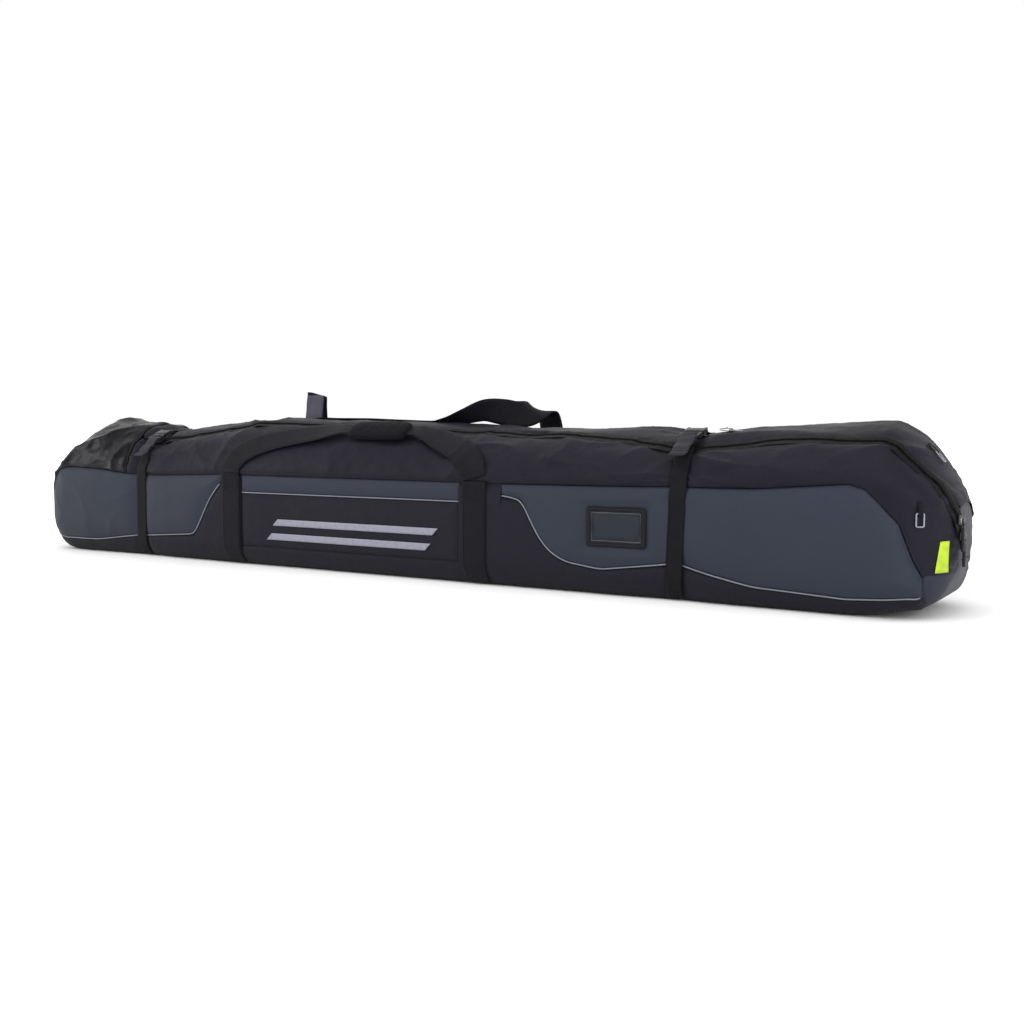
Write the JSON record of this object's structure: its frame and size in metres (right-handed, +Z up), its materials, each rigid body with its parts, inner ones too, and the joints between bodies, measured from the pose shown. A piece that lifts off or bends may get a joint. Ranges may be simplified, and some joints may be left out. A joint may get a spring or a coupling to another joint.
{
  "type": "ski bag",
  "caption": "Long padded ski bag with a zipped lid, two compression straps with side-release buckles, a wrapped pair of carrying handles and a name card window.",
  "frame": {"origin": "on the floor, under the middle of the whole bag's box", "axes": "+X along the bag towards its domed end with the zip pulls, -Y out of the side with the name card window, +Z up"},
  "size_m": [1.9595, 0.2749, 0.3368],
  "materials": {
    "base_fabric": "matt coated polyester",
    "grey_fabric": "slate coated polyester over foam",
    "top_fabric": "black satin polyester",
    "nose_fabric": "glossy coated fabric",
    "foam": "closed-cell foam sheet",
    "lining": "plain woven lining",
    "webbing": "ribbed polyester webbing",
    "webbing_tail": "ribbed polyester webbing",
    "grip": "padded hook and loop grip",
    "buckle_plastic": "moulded acetal",
    "zip_coil": "nylon coil",
    "slider_metal": "black lacquer",
    "pull_rubber": "moulded rubber pull",
    "ring_metal": "grey lacquer",
    "window_binding": "welded binding",
    "window_clear": "clear PVC film",
    "card": "blank card",
    "piping": "silver reflective piping",
    "badge_silver": "printed film",
    "badge_lime": "printed film"
  },
  "bodies": {
    "root": {"base_panel": "base_fabric", "front_left_panel": "grey_fabric", "front_centre_panel": "base_fabric", "front_right_panel": "grey_fabric", "front_band": "grey_fabric", "back_left_panel": "grey_fabric", "back_centre_panel": "base_fabric", "back_right_panel": "grey_fabric", "back_band": "grey_fabric", "front_top_panel": "top_fabric", "right_end_panel": "top_fabric", "nose_cap": "nose_fabric", "foam_base": "foam", "foam_front": "foam", "foam_back": "foam", "lining_tub": "lining", "ski_strap_left": "webbing", "ski_strap_right": "webbing", "front_webbing": "webbing", "back_webbing": "webbing", "strap_front_left": "webbing", "strap_front_right": "webbing", "strap_back_left": "webbing", "strap_back_right": "webbing", "zip_coil_front": "zip_coil", "lash_tab_front": "webbing", "window_frame": "window_binding", "window_pane": "window_clear", "name_card": "card", "piping_front": "piping", "piping_back": "piping", "side_badge": "badge_silver", "end_badge": "badge_lime"},
    "lid": {"lid_panel": "top_fabric", "lid_lining": "lining", "strap_lid_left": "webbing", "strap_lid_right": "webbing", "buckle_female_left": "buckle_plastic", "buckle_female_right": "buckle_plastic", "zip_coil_lid": "zip_coil", "lash_tab_lid": "webbing", "d_ring_tab": "webbing"},
    "buckle_tongue_left": {"buckle_male_left": "buckle_plastic", "strap_tail_left": "webbing_tail"},
    "buckle_tongue_right": {"buckle_male_right": "buckle_plastic", "strap_tail_right": "webbing_tail"},
    "front_handle": {"front_handle": "webbing", "grip_wrap": "grip"},
    "rear_handle": {"rear_handle": "webbing"},
    "slider_upper": {"slider_upper": "slider_metal"},
    "slider_lower": {"slider_lower": "slider_metal"},
    "pull_upper": {"pull_upper": "pull_rubber"},
    "pull_lower": {"pull_lower": "pull_rubber"},
    "lash_ring_front": {"lash_ring_front": "ring_metal"},
    "lash_ring_lid": {"lash_ring_lid": "ring_metal"},
    "d_ring": {"d_ring": "ring_metal"}
  },
  "joints": [
    {"name": "lid_open", "type": "hinge", "parent": "root", "child": "lid", "pos_m": [0, 0.136, 0.18], "axis": [-1, 0, 0], "range_deg": [0, 100]},
    {"name": "front_handle_swing", "type": "hinge", "parent": "root", "child": "front_handle", "pos_m": [-0.073, -0.13379, 0.18722], "axis": [1, 0, 0], "range_deg": [0, 165]},
    {"name": "rear_handle_swing", "type": "hinge", "parent": "lid", "child": "rear_handle", "pos_m": [-0.073, 0.138, 0.184], "axis": [-1, 0, 0], "range_deg": [0, 75]},
    {"name": "buckle_left_release", "type": "slide", "parent": "lid", "child": "buckle_tongue_left", "axis": [0, -0.9223, -0.3865], "range_m": [0, 0.022]},
    {"name": "buckle_right_release", "type": "slide", "parent": "lid", "child": "buckle_tongue_right", "axis": [0, -0.9665, -0.2566], "range_m": [0, 0.022]},
    {"name": "zip_upper_slide", "type": "slide", "parent": "root", "child": "slider_upper", "axis": [0, 0, 1], "range_m": [0, 0.022]},
    {"name": "zip_lower_slide", "type": "slide", "parent": "root", "child": "slider_lower", "axis": [0, 0, -1], "range_m": [0, 0.014]},
    {"name": "pull_upper_swing", "type": "hinge", "parent": "slider_upper", "child": "pull_upper", "pos_m": [0.9777, -0.058, 0.1423], "axis": [0, -1, 0], "range_deg": [0, 120]},
    {"name": "pull_lower_swing", "type": "hinge", "parent": "slider_lower", "child": "pull_lower", "pos_m": [0.9777, -0.046, 0.1193], "axis": [0, -1, 0], "range_deg": [0, 120]},
    {"name": "front_ring_swing", "type": "hinge", "parent": "root", "child": "lash_ring_front", "pos_m": [0.932, -0.12234, 0.1556], "axis": [-0.8191, -0.5736, 0], "range_deg": [0, 60]},
    {"name": "lid_ring_swing", "type": "hinge", "parent": "lid", "child": "lash_ring_lid", "pos_m": [0.93, -0.01944, 0.24093], "axis": [0, -1, 0], "range_deg": [0, 60]},
    {"name": "d_ring_swing", "type": "hinge", "parent": "lid", "child": "d_ring", "pos_m": [0.612, -0.02911, 0.27205], "axis": [0, -1, 0], "range_deg": [0, 60]}
  ]
}
